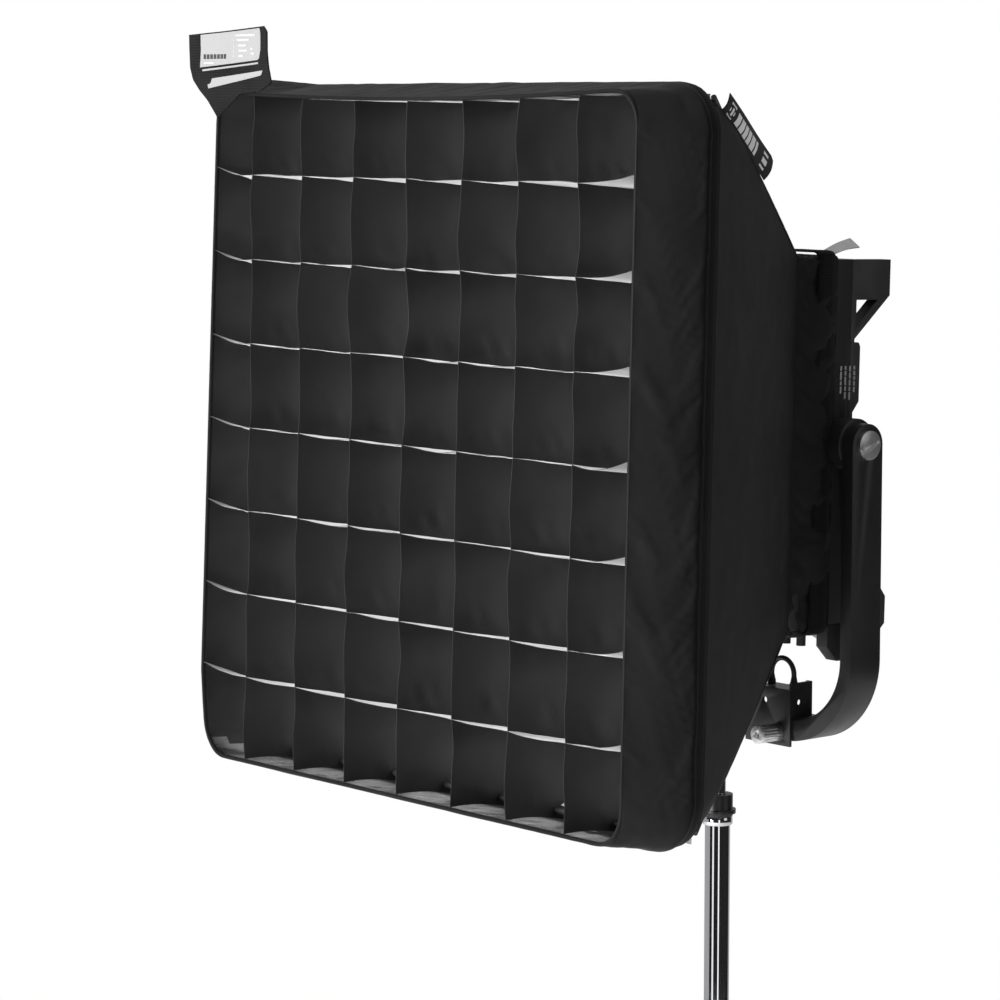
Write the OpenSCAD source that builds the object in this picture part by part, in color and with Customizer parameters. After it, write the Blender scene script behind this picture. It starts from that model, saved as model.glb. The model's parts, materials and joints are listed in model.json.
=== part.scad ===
// Square studio softbox with an egg-crate grid, on an LED lamp head,
// held in a yoke on a three-section stand with folding legs.
// X is the width, -Y is the way the light shines, Z is up.
// The origin is on the floor, on the axis of the stand.

/* [Head] */
// Height of the tilt axis above the floor
pivot_h = 1250; // [1200:1:1300]
// Rest tilt of the head, front edge up, in degrees
rest_tilt = 1.5; // [0:0.5:3]

/* [Softbox] */
// Half width and half height of the bag's front rim
rim_half = 336; // [325:1:345]
// Distance from the tilt axis to the front rim
rim_depth = 345; // [340:1:350]
// Half width of the neck that grips the lamp
neck_half_w = 165; // [165:1:168]
// Half height of the neck that grips the lamp
neck_half_h = 178; // [178:1:180]
// Distance from the tilt axis to the front of the neck
neck_front = 68; // [67:1:70]
// Distance from the tilt axis to the back of the neck
neck_back = 12; // [10:1:16]
// Thickness of the bag fabric with its padding
cloth_t = 1.6; // [1:0.1:2]

/* [Grid] */
// Half width of the grid between its border walls
grid_half_w = 302; // [300:1:304]
// Half height of the grid between its border walls
grid_half_h = 318; // [316:1:319]
// Spacing of the upright strips
pitch_x = 77; // [74:0.5:78]
// Spacing of the level strips
pitch_z = 80; // [76:0.5:81]
// Distance from the tilt axis to the front of the grid
grid_front = 400; // [396:1:404]
// Depth of the grid strips
strip_depth = 76; // [70:1:76]
// Thickness of one strip
strip_t = 1.2; // [1:0.1:1.6]

/* [Lamp] */
// Half width of the lamp housing
lamp_half_w = 162; // [160:1:162]
// Half height of the lamp housing
lamp_half_h = 172; // [170:1:172]
// Distance from the tilt axis to the back wall of the housing
lamp_back = 10; // [9:1:11]
// Wall of the lamp housing
lamp_wall = 3; // [2:0.5:4]

/* [Yoke] */
// Half width of the yoke, outside
yoke_half = 198; // [197:1:199]
// Width of the yoke bar, front to back
yoke_w = 40; // [36:1:44]
// Thickness of the yoke arms
arm_t = 14; // [12:1:15]
// Depth of the yoke below the tilt axis, outside
yoke_drop = 289; // [288:1:292]
// Thickness of the crossbar
bar_t = 21; // [18:1:22]

/* [Stand] */
// Radius of the thin riser
riser_2_r = 8; // [7.5:0.5:8]
// Radius of the thick riser
riser_1_r = 12.5; // [12:0.5:13]
// Radius of the column
column_r = 17.5; // [17:0.5:18]
// Height of the top of the column
column_top = 640; // [620:1:650]
// Distance from the stand axis to each foot
foot_reach = 455; // [430:1:480]
// Radius of the leg tube
leg_r = 12.5; // [12:0.5:13]

/* [Hidden] */
$fn = 48;

fit = 0.05;             // radial running clearance of shafts
gap = 0.4;              // clearance between loose neighbours
corner_gap = 6;         // bag panels stop this far short of a corner
back_face = lamp_back;  // outer face of the lamp's back wall
pivot_r = 6;            // radius of the pivot bolt
boss_r = 24;            // radius of the pivot boss
disc_r = 13.8;          // radius of the pivot bolt's head
cells = 8;              // cells along each side of the grid
skirt_out = 3.6;        // the skirt starts this far outside the border walls
bezel_front = 64;
collar_top = pivot_h - 360;
collar_low = pivot_h - 381;
riser_1_low = 200;
riser_2_low = 450;
sleeve_h = 40;
sleeve_low = 112;
leg_bend = 80;
foot_h = 22;
foot_r = 16.5;
lead_r = 2.5;
lead_x = 84;
lead_span = 15;

black = [0.06, 0.06, 0.065];
cloth = [0.09, 0.09, 0.1];
steel = [0.8, 0.8, 0.82];
white = [0.93, 0.93, 0.92];

// ---------- shared shapes ----------

module at_head() {
  translate([0, 0, pivot_h]) rotate([-rest_tilt, 0, 0]) children();
}

// a box from its low corner to its high corner
module box(low, high) {
  translate(low) cube(high - low);
}

module both_sides() {
  children();
  mirror([1, 0, 0]) children();
}

// a round bar between two points
module bar(a, b, r) {
  d = b - a;
  h = norm(d);
  translate(a) rotate([0, acos(d.z / h), atan2(d.y, d.x)]) cylinder(h = h, r = r);
}

module x_cyl(x0, x1, r) {
  translate([x0, 0, 0]) rotate([0, 90, 0]) cylinder(h = x1 - x0, r = r);
}

// runs from y0 back to y1, y1 > y0
module y_cyl(y0, y1, r) {
  translate([0, y0, 0]) rotate([-90, 0, 0]) cylinder(h = y1 - y0, r = r);
}

// four copies of a slab made for the top side, turned to each side of a square
module four_sides() {
  for (turn = [0, 90, 180, 270]) rotate([0, turn, 0]) children();
}

// one flat wall of a flared square tube, above the axis, between two depths
module flare(near_half, near_y, far_half, far_y, near_across, far_across, inset, t) {
  slope = atan2(far_half - near_half, far_y - near_y);
  run = norm([far_half - near_half, far_y - near_y]);
  translate([0, -near_y, near_half]) rotate([slope, 0, 180]) translate([0, 0, -inset - t])
    linear_extrude(t) polygon([
      [-near_across, 0], [near_across, 0], [far_across, run], [-far_across, run]
    ]);
}

// ---------- softbox ----------

module bag_wall(near_half, near_across, inset, t) {
  flare(near_half, neck_front, rim_half, rim_depth,
    near_across - corner_gap, rim_half - corner_gap, inset, t);
}

module bag_top(inset, t) {
  bag_wall(neck_half_h, neck_half_w, inset, t);
}

module bag_side(inset, t) {
  rotate([0, 90, 0]) bag_wall(neck_half_w, neck_half_h, inset, t);
}

module bag_panel_top() {
  color(cloth) at_head() bag_top(0, cloth_t);
}

module bag_panel_bottom() {
  color(cloth) at_head() mirror([0, 0, 1]) bag_top(0, cloth_t);
}

module bag_panel_right() {
  color(cloth) at_head() bag_side(0, cloth_t);
}

module bag_panel_left() {
  color(cloth) at_head() mirror([1, 0, 0]) bag_side(0, cloth_t);
}

module bag_lining() {
  lining_inset = cloth_t + gap;
  lining_t = 0.6;
  near_trim = 8;
  color(white) at_head() intersection() {
    union() {
      bag_top(lining_inset, lining_t);
      mirror([0, 0, 1]) bag_top(lining_inset, lining_t);
      both_sides() bag_side(lining_inset, lining_t);
    }
    box([-rim_half, -rim_depth, -rim_half], [rim_half, -neck_front - near_trim, rim_half]);
  }
}

module rim_hem() {
  hem_w = 16;
  hem_y = rim_depth + 1.2;
  hem_t = 2.6;
  color(cloth) at_head() four_sides()
    box([-rim_half + hem_w + gap, -hem_y - hem_t, rim_half - hem_w],
        [rim_half, -hem_y, rim_half]);
}

module front_frame() {
  frame_half_w = 320;
  frame_half_h = 324.5;
  frame_y = -341;
  rod_r = 3;
  joint = 3.2;
  color(black) at_head() {
    both_flip() bar([-frame_half_w, frame_y, frame_half_h], [frame_half_w, frame_y, frame_half_h], rod_r);
    both_sides() bar([frame_half_w, frame_y, -frame_half_h], [frame_half_w, frame_y, frame_half_h], rod_r);
    both_sides() both_flip() translate([frame_half_w, frame_y, frame_half_h])
      box([-joint, -joint, -joint], [joint, joint, joint]);
  }
}

module corner_ribs() {
  rib_in = 9;
  rib_r = 2.5;
  rear_in = 22;
  color(black) at_head() for (sx = [-1, 1], sz = [-1, 1])
    bar([sx * (neck_half_w - rib_in), -neck_front - 2, sz * (neck_half_h - rib_in)],
        [sx * (rim_half - rear_in), -rim_depth + 22, sz * (rim_half - rear_in)], rib_r);
}

module front_diffuser() {
  diffuser_half_w = 308;
  diffuser_half_h = 314;
  diffuser_y = -321.5;
  color(white) at_head() box([-diffuser_half_w, diffuser_y, -diffuser_half_h],
    [diffuser_half_w, diffuser_y + 1.2, diffuser_half_h]);
}

module neck_wall(half, across, y_front, y_back, t) {
  box([-across, -y_front, half - t], [across, -y_back, half]);
}

// leaves room for the pivot bosses
module around_bosses() {
  difference() {
    union() children();
    x_cyl(-yoke_half, yoke_half, boss_r + gap);
  }
}

module neck_sleeve() {
  color(cloth) at_head() around_bosses() {
    both_flip() neck_wall(neck_half_h, neck_half_w - 2, neck_front - 1, neck_back, cloth_t);
    both_sides() rotate([0, 90, 0])
      neck_wall(neck_half_w, neck_half_h - 2, neck_front - 1, neck_back, cloth_t);
  }
}

module both_flip() {
  children();
  mirror([0, 0, 1]) children();
}

module neck_strap() {
  strap_front = 42;
  strap_back = 17;
  strap_t = 1.5;
  color(black) at_head() around_bosses() {
    both_flip() neck_wall(neck_half_h + gap + strap_t, neck_half_w, strap_front, strap_back, strap_t);
    both_sides() rotate([0, 90, 0])
      neck_wall(neck_half_w + gap + strap_t, neck_half_h - 1, strap_front, strap_back, strap_t);
  }
}

module pull_tab(width, length) {
  translate([0, -neck_back + gap, neck_half_h - 1]) rotate([14, 0, 0])
    box([0, 0, 0], [width, length, 1.2]);
}

module pull_tabs() {
  tab_w = 22;
  tab_l = 34;
  upper_x = 138;
  lower_x = 125.2;
  color([0.85, 0.85, 0.87]) at_head() {
    translate([upper_x, 0, 0]) pull_tab(tab_w, tab_l);
    mirror([0, 0, 1]) translate([lower_x, 0, 0]) pull_tab(tab_w, tab_l);
  }
}

module bag_label() {
  label_stand = 22;
  inner = 3;
  a = [0.6, 0, 0.8];
  front = [310, -303, 312];
  back = [237, -185, 245];
  color(black) at_head() hull() {
    bar(front + inner * a, front + label_stand * a, 0.6);
    bar(back + inner * a, back + label_stand * a, 0.6);
  }
}

// ---------- grid ----------

strip_end = 0.6;
half_lap = strip_depth / 2 + 0.5;
slot_w = strip_t + 0.4;
strip_back = -grid_front + strip_depth;

// distance of strip number i from the middle of the grid
function strip_at(i, pitch) = (i - cells / 2) * pitch;

// one upright strip, slotted in its rear half where the level strips pass
module upright_strip() {
  length = grid_half_h - strip_end;
  difference() {
    box([-strip_t / 2, -grid_front, -length], [strip_t / 2, strip_back, length]);
    for (row = [1 : cells - 1]) translate([0, 0, strip_at(row, pitch_z)])
      box([-strip_t, strip_back - half_lap, -slot_w / 2], [strip_t, strip_back + 1, slot_w / 2]);
  }
}

// one level strip, slotted in its front half where the upright strips pass
module level_strip() {
  length = grid_half_w - strip_end;
  difference() {
    box([-length, -grid_front, -strip_t / 2], [length, strip_back, strip_t / 2]);
    for (col = [1 : cells - 1]) translate([strip_at(col, pitch_x), 0, 0])
      box([-slot_w / 2, -grid_front - 1, -strip_t], [slot_w / 2, -grid_front + half_lap, strip_t]);
  }
}

module grid_verticals() {
  color(cloth) at_head() for (col = [1 : cells - 1])
    translate([strip_at(col, pitch_x), 0, 0]) upright_strip();
}

module grid_horizontals() {
  color(cloth) at_head() for (row = [1 : cells - 1])
    translate([0, 0, strip_at(row, pitch_z)]) level_strip();
}

// the level pair overlaps the ends of the upright pair
module border_pair(low, high, width, y0, y1) {
  both_flip() box([-width, y0, low], [width, y1, high]);
}

module grid_border() {
  color(cloth) at_head() {
    border_pair(grid_half_h, grid_half_h + strip_t, grid_half_w + strip_t, -grid_front, strip_back);
    rotate([0, 90, 0])
      border_pair(grid_half_w, grid_half_w + strip_t, grid_half_h - gap, -grid_front, strip_back);
  }
}

module grid_hem() {
  hem_in = 4;
  hem_out = 6;
  color(cloth) at_head() {
    border_pair(grid_half_h - hem_in, grid_half_h + hem_out, grid_half_w + hem_out,
      -grid_front - 2, -grid_front - gap);
    rotate([0, 90, 0])
      border_pair(grid_half_w - hem_in, grid_half_w + hem_out, grid_half_h - hem_in - gap,
        -grid_front - 2, -grid_front - gap);
  }
}

module skirt_wall(half, across) {
  skirt_back = rim_depth + 5;
  flare(rim_half - 1, skirt_back, half + skirt_out, grid_front, rim_half - 5, across, 0, 1.4);
}

module grid_skirt() {
  color(cloth) at_head() {
    both_flip() skirt_wall(grid_half_h, grid_half_w);
    both_sides() rotate([0, 90, 0]) skirt_wall(grid_half_w, grid_half_h);
  }
}

module grid_flap() {
  flap_y = -405;
  color(cloth) at_head() translate([0, flap_y, 0]) rotate([90, 0, 0]) linear_extrude(1.5)
    polygon([
      [-327, 372], [-206, 379], [-202, 372], [-197, 328], [-246, 316], [-282, 294], [-311, 319], [-327, 341]
    ]);
}

module care_labels() {
  label_y = -407;
  color(white) at_head() translate([0, label_y, 0]) rotate([90, 0, 0]) linear_extrude(0.8) {
    polygon([[-309, 371], [-214, 377], [-213, 356], [-217, 347], [-310, 341]]);
    polygon([[-290, 330], [-209, 337], [-213, 333], [-251, 331], [-281, 325], [-296, 322]]);
  }
}

// ---------- lamp head ----------

module lamp_housing() {
  front = -50;
  boss_hole = pivot_r + fit;
  color(black) at_head() difference() {
    box([-lamp_half_w, front, -lamp_half_h], [lamp_half_w, back_face, lamp_half_h]);
    box([-lamp_half_w + lamp_wall, front - 1, -lamp_half_h + lamp_wall],
        [lamp_half_w - lamp_wall, back_face - lamp_wall, lamp_half_h - lamp_wall]);
    both_sides() x_cyl(lamp_half_w - 2 * lamp_wall, lamp_half_w + 1, boss_hole);
  }
}

module lamp_bezel() {
  bezel_back = -50 - gap;
  color(black) at_head() difference() {
    box([-lamp_half_w - 1, -bezel_front, -lamp_half_h - 3], [lamp_half_w + 1, bezel_back, lamp_half_h + 3]);
    box([-lamp_half_w + 10, -bezel_front - 1, -lamp_half_h + 10],
        [lamp_half_w - 10, bezel_back + 1, lamp_half_h - 10]);
  }
}

module lamp_lens() {
  lens_t = 3;
  color([0.9, 0.9, 0.88]) at_head()
    box([-lamp_half_w + 11, -60, -lamp_half_h + 11], [lamp_half_w - 11, -60 + lens_t, lamp_half_h - 11]);
}

module led_board() {
  color([0.9, 0.9, 0.9]) at_head()
    box([-145, -16, -155], [145, -14, 155]);
}

module led_chips() {
  pitch = 34;
  chip = 7;
  color([0.9, 0.75, 0.2]) at_head() for (col = [-4 : 3], row = [-4 : 3])
    translate([(col + 0.5) * pitch, -17.4, (row + 0.5) * pitch])
      box([-chip / 2, -1, -chip / 2], [chip / 2, 1.3, chip / 2]);
}

// base plate under the board, and two banks of upright fins outside the back wall
module heat_sink() {
  fin_low = back_face + gap;
  fin_high = 33;
  color(black) at_head() {
    box([-148, -13.6, -158], [148, -7, 158]);
    both_sides() {
      box([64, fin_low, -124], [146, fin_low + 4, 124]);
      for (fin = [0 : 10]) translate([65 + fin * 7.8, 0, 0])
        box([0, fin_low + 3, -124], [2.2, fin_high, 124]);
    }
  }
}

fan_z = 96;
fan_front = back_face + gap;
fan_back = 33;
module fan_ring() {
  difference() {
    translate([0, 0, fan_z]) box([-38, fan_front, -38], [38, fan_back, 38]);
    translate([0, 0, fan_z]) y_cyl(fan_front + 2, fan_back + 1, 34.5);
  }
  translate([0, 0, fan_z]) {
    for (turn = [0, 90]) rotate([0, turn, 0])
      box([-35.5, fan_back - 1.6, -1.2], [35.5, fan_back, 1.2]);
    for (ring = [14, 24]) difference() {
      y_cyl(fan_back - 1.6, fan_back, ring + 1.2);
      y_cyl(fan_back - 2, fan_back + 1, ring - 1.2);
    }
    y_cyl(fan_front + 1, fan_front + 4, 3);
  }
}

module fan_frames() {
  color([0.12, 0.12, 0.13]) at_head() both_flip() fan_ring();
}

module fan_rotor() {
  blades = 7;
  hub_front = fan_front + 5;
  blade_y = (fan_front + fan_back) / 2;
  y_cyl(hub_front, fan_back - 3, 13);
  for (blade = [0 : blades - 1]) rotate([0, blade * 360 / blades, 0])
    translate([0, blade_y, 0]) rotate([0, 0, 32]) box([-7, -0.8, 11], [7, 0.8, 33]);
}

module fan_rotor_top() {
  color([0.16, 0.16, 0.17]) at_head() translate([0, 0, fan_z]) fan_rotor();
}

module fan_rotor_bottom() {
  color([0.16, 0.16, 0.17]) at_head() translate([0, 0, -fan_z]) fan_rotor();
}

panel_y = 58;
module control_box() {
  color(black) at_head() difference() {
    box([-60, fan_front, -52], [60, panel_y, 52]);
    box([-57, fan_front - 1, -49], [57, panel_y - 3, 49]);
    box([-38, panel_y - 4, 6], [38, panel_y + 1, 40]);
    both_sides() translate([34, 0, -16]) y_cyl(panel_y - 4, panel_y + 1, 4 + fit);
    for (b = [0 : 3]) translate([-30 + b * 20, 0, -38]) y_cyl(panel_y - 4, panel_y + 1, 5 + fit);
  }
}

module display() {
  color([0.05, 0.12, 0.16]) at_head() box([-37.6, panel_y - 2.4, 6.4], [37.6, panel_y - 0.5, 39.6]);
}

module driver_board() {
  color([0.05, 0.3, 0.12]) at_head() {
    box([-54, 24, -46], [54, 26, 46]);
    for (part = [-1, 0, 1]) box([part * 34 - 9, 26, -12], [part * 34 + 9, 36, 14]);
  }
}

module encoder() {
  translate([0, 0, -16]) difference() {
    union() {
      y_cyl(panel_y - 6, panel_y + 2, 4);
      y_cyl(panel_y + 0.6, panel_y + 13, 11);
    }
    for (rib = [0 : 11]) rotate([0, rib * 30, 0]) translate([0, 0, 11.6])
      y_cyl(panel_y + 2, panel_y + 14, 1.4);
  }
}

module encoder_left() {
  color([0.1, 0.1, 0.1]) at_head() translate([-34, 0, 0]) encoder();
}

module encoder_right() {
  color([0.1, 0.1, 0.1]) at_head() translate([34, 0, 0]) encoder();
}

module button(index) {
  color([0.25, 0.25, 0.27]) at_head() translate([-30 + index * 20, 0, -38])
    y_cyl(panel_y - 6, panel_y + 2.5, 5);
}

module button_1() {
  button(0);
}

module button_2() {
  button(1);
}

module button_3() {
  button(2);
}

module button_4() {
  button(3);
}

// power inlet and data sockets on the underside of the control box
module connectors() {
  color([0.55, 0.55, 0.57]) at_head() both_sides() translate([47, 36, 0]) difference() {
    translate([0, 0, -58]) cylinder(h = 5.8, r = 9);
    translate([0, 0, -59]) cylinder(h = 5, r = 7);
  }
}

module cable_glands() {
  color(black) at_head() for (x = [98, 118]) translate([x, 0, -198]) {
    cylinder(h = 14, r = 4.5);
    translate([0, 0, 14]) cylinder(h = 11.7, r = 6.5);
  }
}

// end brackets with a hand hole, and a round-edged grip between them
module upper_handle() {
  color(black) at_head() {
    both_sides() translate([162, 0, 0]) rotate([90, 0, -90]) linear_extrude(14) difference() {
      polygon([[-10.4, 172], [-62, 172], [-62, 138], [-13, 95], [-10.4, 95]]);
      polygon([[-17, 134], [-46, 134], [-17, 108]]);
    }
    grip(48, 155);
  }
}

module grip(y, z) {
  for (dy = [-8, 8], dz = [-11, 11]) translate([0, y + dy, z + dz]) x_cyl(-148.2, 148.2, 5);
  box([-148.2, y - 13, z - 11], [148.2, y + 13, z + 11]);
  box([-148.2, y - 8, z - 16], [148.2, y + 8, z + 16]);
}

module lower_handle() {
  color(black) at_head() {
    both_sides() translate([162, 0, 0]) rotate([90, 0, -90]) linear_extrude(14) polygon([
      [-10.4, -95], [-13, -95], [-53, -131], [-68, -150], [-68, -176], [-34, -208], [-4, -208],
      [10, -194], [10, -172.4], [-10.4, -172.4]
    ]);
    grip(54, -159);
  }
}

module side_pods() {
  color([0.1, 0.1, 0.1]) at_head() both_sides() translate([162, 0, 0]) rotate([90, 0, -90])
    linear_extrude(13) polygon([[-10.4, 94], [-22, 94], [-24, 90], [-24, 38], [-12, 23], [-10.4, 23]]);
}

module pivot_bosses() {
  color(black) at_head() both_sides() difference() {
    x_cyl(lamp_half_w + fit, yoke_half - arm_t - 0.3, boss_r);
    x_cyl(lamp_half_w - 1, yoke_half, pivot_r + fit);
  }
}

// slotted silver heads outside the arms; the left bolt is longer and carries the tilt knob
module pivot_bolts() {
  inner = lamp_half_w - 8;
  ring_r = 6.8;
  color(steel) at_head() {
    difference() {
      union() {
        x_cyl(inner, yoke_half + 1, pivot_r);
        x_cyl(yoke_half + 0.3, yoke_half + 3.5, disc_r);
      }
      translate([yoke_half + 3, 0, 0]) rotate([18, 0, 0]) {
        box([-0.1, -disc_r, -0.5], [1, disc_r, 0.5]);
        for (dy = [-9.5, 9.5]) translate([0, dy, 0]) x_cyl(-0.6, 1, 1.3);
      }
    }
    x_cyl(-yoke_half - 20, -inner, pivot_r);
    both_sides() x_cyl(inner - 4, inner + 1, ring_r);
  }
}

// ---------- yoke ----------

module yoke_outline(half, low, round_r) {
  difference() {
    translate([-half, low]) square([2 * half, 300 + abs(low)]);
    for (s = [-1, 1]) translate([s * half, low]) difference() {
      square(2 * round_r, center = true);
      translate([-s * round_r, round_r]) circle(round_r, $fn = 96);
    }
  }
}

module yoke() {
  arm_top = yoke_w / 2;
  inner_half = yoke_half - arm_t;
  inner_low = -yoke_drop + bar_t;
  color(black) at_yoke() difference() {
    intersection() {
      translate([0, yoke_w / 2, 0]) rotate([90, 0, 0]) linear_extrude(yoke_w) difference() {
        yoke_outline(yoke_half, -yoke_drop, 85);
        yoke_outline(inner_half, inner_low, 65);
      }
      union() {
        box([-yoke_half - 1, -arm_top, -yoke_drop - 1], [yoke_half + 1, arm_top, 0]);
        x_cyl(-yoke_half - 1, yoke_half + 1, arm_top);
      }
    }
    x_cyl(-yoke_half - 1, yoke_half + 1, pivot_r + fit);
    translate([0, 0, -yoke_drop - 1]) cylinder(h = bar_t + 2, r = 13 + fit);
  }
}

module at_yoke() {
  translate([0, 0, pivot_h]) children();
}

receiver_low = -312;
screw_z = -301;
module stud_receiver() {
  color(black) at_yoke() difference() {
    union() {
      translate([0, 0, receiver_low]) cylinder(h = -yoke_drop - gap - receiver_low, r = 18);
      translate([0, 0, receiver_low + 1]) cylinder(h = 60, r = 13);
      translate([0, 0, -yoke_drop + bar_t + gap]) cylinder(h = 8, r = 20);
    }
    translate([0, 0, receiver_low - 1]) cylinder(h = 66, r = riser_2_r + fit);
    translate([0, 0, screw_z]) y_cyl(-20, 0, 4 + fit);
  }
}

// clamping screw with a cross handle, along -Y from the shaft it presses on
module t_screw(tip, reach, half_bar) {
  y_cyl(-reach, -tip, 4);
  bar([0, -reach, -half_bar], [0, -reach, half_bar], 4);
}

module receiver_screw() {
  color(steel) at_yoke() translate([0, 0, screw_z]) t_screw(riser_2_r + 0.2, 42, 18);
}

module tilt_knob() {
  knob_in = yoke_half + 0.6;
  color(black) at_yoke() mirror([1, 0, 0]) difference() {
    union() {
      x_cyl(knob_in, yoke_half + 10, 14);
      x_cyl(yoke_half + 9, yoke_half + 30, 22);
    }
    x_cyl(knob_in - 1, yoke_half + 22, pivot_r + fit);
    for (lobe = [0 : 5]) rotate([lobe * 60, 0, 0]) translate([0, 26, 0])
      x_cyl(yoke_half + 8, yoke_half + 31, 9);
  }
}

plate_left = 62;
plate_right = 122;
plate_top = -233;
plate_t = 3;
plate_y = -yoke_w / 2 - gap;
screw_x = 106;
knob_z = -281;
module angle_plate() {
  color(black) at_yoke() difference() {
    union() {
      box([plate_left, plate_y - plate_t, -294], [plate_right, plate_y, plate_top - 6]);
      box([plate_right - plate_t, plate_y - 1, -yoke_drop + bar_t + gap], [plate_right, 4, plate_top]);
      box([plate_right - 2 * plate_t, 4, -yoke_drop + bar_t + gap], [plate_right, 7, plate_top]);
      box([lead_x - 8, plate_y - 1, plate_top - 9], [plate_right - plate_t + 1, 2, plate_top - 6]);
    }
    translate([0, -10, -252]) x_cyl(plate_right - 10, plate_right + 1, 3);
    translate([88, 0, -252]) y_cyl(plate_y - 10, plate_y + 1, 3);
    translate([screw_x, 0, knob_z]) y_cyl(plate_y - 10, plate_y + 1, 4 + fit);
  }
}

module thumb_screw() {
  head_y = plate_y - plate_t;
  color(steel) at_yoke() translate([screw_x, 0, knob_z]) difference() {
    union() {
      y_cyl(head_y - 6, plate_y - 0.1, 4);
      y_cyl(head_y - 28, head_y - 0.4, 8.5);
    }
    y_cyl(head_y - 29, head_y - 25, 3);
    for (groove = [0 : 17]) rotate([0, groove * 20, 0]) translate([0, 0, 8.9])
      y_cyl(head_y - 24, head_y - 8, 0.8);
  }
}

// short lead that loops up from one socket on the plate and back down to the other
lead_y = -10;
lead_foot = plate_top - 5.6;
lead_rise = 12;
module patch_lead() {
  color(black) at_yoke() translate([lead_x + lead_span, lead_y, 0]) {
    translate([0, 0, lead_foot + lead_rise]) rotate([90, 0, 0]) intersection() {
      rotate_extrude() translate([lead_span, 0]) circle(lead_r, $fn = 24);
      box([-30, 0, -10], [30, 30, 10]);
    }
    for (s = [-1, 1]) translate([s * lead_span, 0, lead_foot]) {
      cylinder(h = lead_rise, r = lead_r);
      cylinder(h = 7, r = 4);
    }
  }
}

// ---------- stand ----------

module tube(low, high, r, bore) {
  translate([0, 0, low]) difference() {
    cylinder(h = high - low, r = r);
    translate([0, 0, -1]) cylinder(h = high - low + 2, r = bore);
  }
}

module riser_2() {
  foot_bush = 20;
  color(steel) {
    tube(riser_2_low, pivot_h + receiver_low + 64, riser_2_r, riser_2_r - 1.5);
    tube(riser_2_low, riser_2_low + foot_bush, 10.9, riser_2_r - 1);
  }
}

module riser_1() {
  foot_bush = 25;
  color(steel) {
    tube(riser_1_low, collar_low - 1, riser_1_r, riser_1_r - 1.5);
    tube(riser_1_low, riser_1_low + foot_bush, 15.8, riser_1_r - 1);
  }
}

module upper_collar() {
  color(black) difference() {
    union() {
      translate([0, 0, collar_low - 0.6]) cylinder(h = collar_top - collar_low + 0.6, r = 15);
      translate([0, 0, collar_low + 2]) cylinder(h = 4, r = 18);
      translate([0, 0, collar_low - 9]) cylinder(h = 8.4, r = 14);
    }
    translate([0, 0, collar_low - 10]) cylinder(h = 9.6, r = riser_1_r + fit);
    translate([0, 0, collar_low - 2]) cylinder(h = 40, r = riser_2_r + fit);
    translate([0, 0, collar_top - 7]) rotate([0, 0, -90]) y_cyl(-19, 0, 4 + fit);
  }
}

module upper_screw() {
  color(steel) translate([0, 0, collar_top - 7]) rotate([0, 0, -90])
    t_screw(riser_2_r + 0.2, 42, 22);
}

// column with its clamping collar, its end cap and the fixed front leg
lower_screw_z = column_top - 22;
module column() {
  color(steel) difference() {
    union() {
      tube(60, column_top, column_r, column_r - 1.6);
      translate([0, 0, column_top - 40]) cylinder(h = 42, r = 21);
      translate([0, 0, 56]) cylinder(h = 12, r = 19);
      rotate([0, 0, -90]) leg(0);
    }
    translate([0, 0, column_top - 42]) cylinder(h = 46, r = riser_1_r + fit);
    translate([0, 0, 69]) cylinder(h = column_top - 110, r = column_r - 1.6);
    translate([0, 0, lower_screw_z]) rotate([0, 0, -90]) y_cyl(-22, 0, 4 + fit);
  }
}

module lower_screw() {
  color(steel) translate([0, 0, lower_screw_z]) rotate([0, 0, -90])
    t_screw(riser_1_r + 0.2, 50, 26);
}

// one leg along +X: sleeve on the column, level stretch, sloping stretch and foot
module leg(index) {
  z = sleeve_low + index * (sleeve_h + 2);
  mid = z + sleeve_h / 2;
  translate([0, 0, z]) cylinder(h = sleeve_h, r = 25);
  bar([21, 0, mid], [leg_bend, 0, mid], leg_r);
  translate([leg_bend, 0, mid]) sphere(leg_r + 0.3);
  bar([leg_bend, 0, mid], [foot_reach, 0, leg_r + 3], leg_r);
  translate([foot_reach, 0, 0]) cylinder(h = foot_h, r = foot_r);
}

module swinging_leg(index, angle) {
  color(steel) difference() {
    rotate([0, 0, angle]) leg(index);
    translate([0, 0, 60]) cylinder(h = 300, r = column_r + fit);
  }
}

module leg_left() {
  swinging_leg(1, 150);
}

module leg_right() {
  swinging_leg(2, 30);
}

bag_panel_top();
bag_panel_bottom();
bag_panel_left();
bag_panel_right();
bag_lining();
rim_hem();
front_frame();
corner_ribs();
front_diffuser();
neck_sleeve();
neck_strap();
pull_tabs();
bag_label();
grid_verticals();
grid_horizontals();
grid_border();
grid_hem();
grid_skirt();
grid_flap();
care_labels();
lamp_housing();
lamp_bezel();
lamp_lens();
led_board();
led_chips();
heat_sink();
fan_frames();
fan_rotor_top();
fan_rotor_bottom();
control_box();
display();
driver_board();
encoder_left();
encoder_right();
button_1();
button_2();
button_3();
button_4();
connectors();
cable_glands();
upper_handle();
lower_handle();
side_pods();
pivot_bosses();
pivot_bolts();
yoke();
stud_receiver();
receiver_screw();
tilt_knob();
angle_plate();
thumb_screw();
patch_lead();
riser_2();
riser_1();
upper_collar();
upper_screw();
column();
lower_screw();
leg_left();
leg_right();
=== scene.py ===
"""Looks for the studio softbox: cloth bag and egg-crate grid on an LED head, yoke and chrome stand."""
import json
import math
import random
from contextlib import contextmanager

import bmesh
import bpy
import numpy as np
from mathutils import Matrix, Vector, noise

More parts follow.
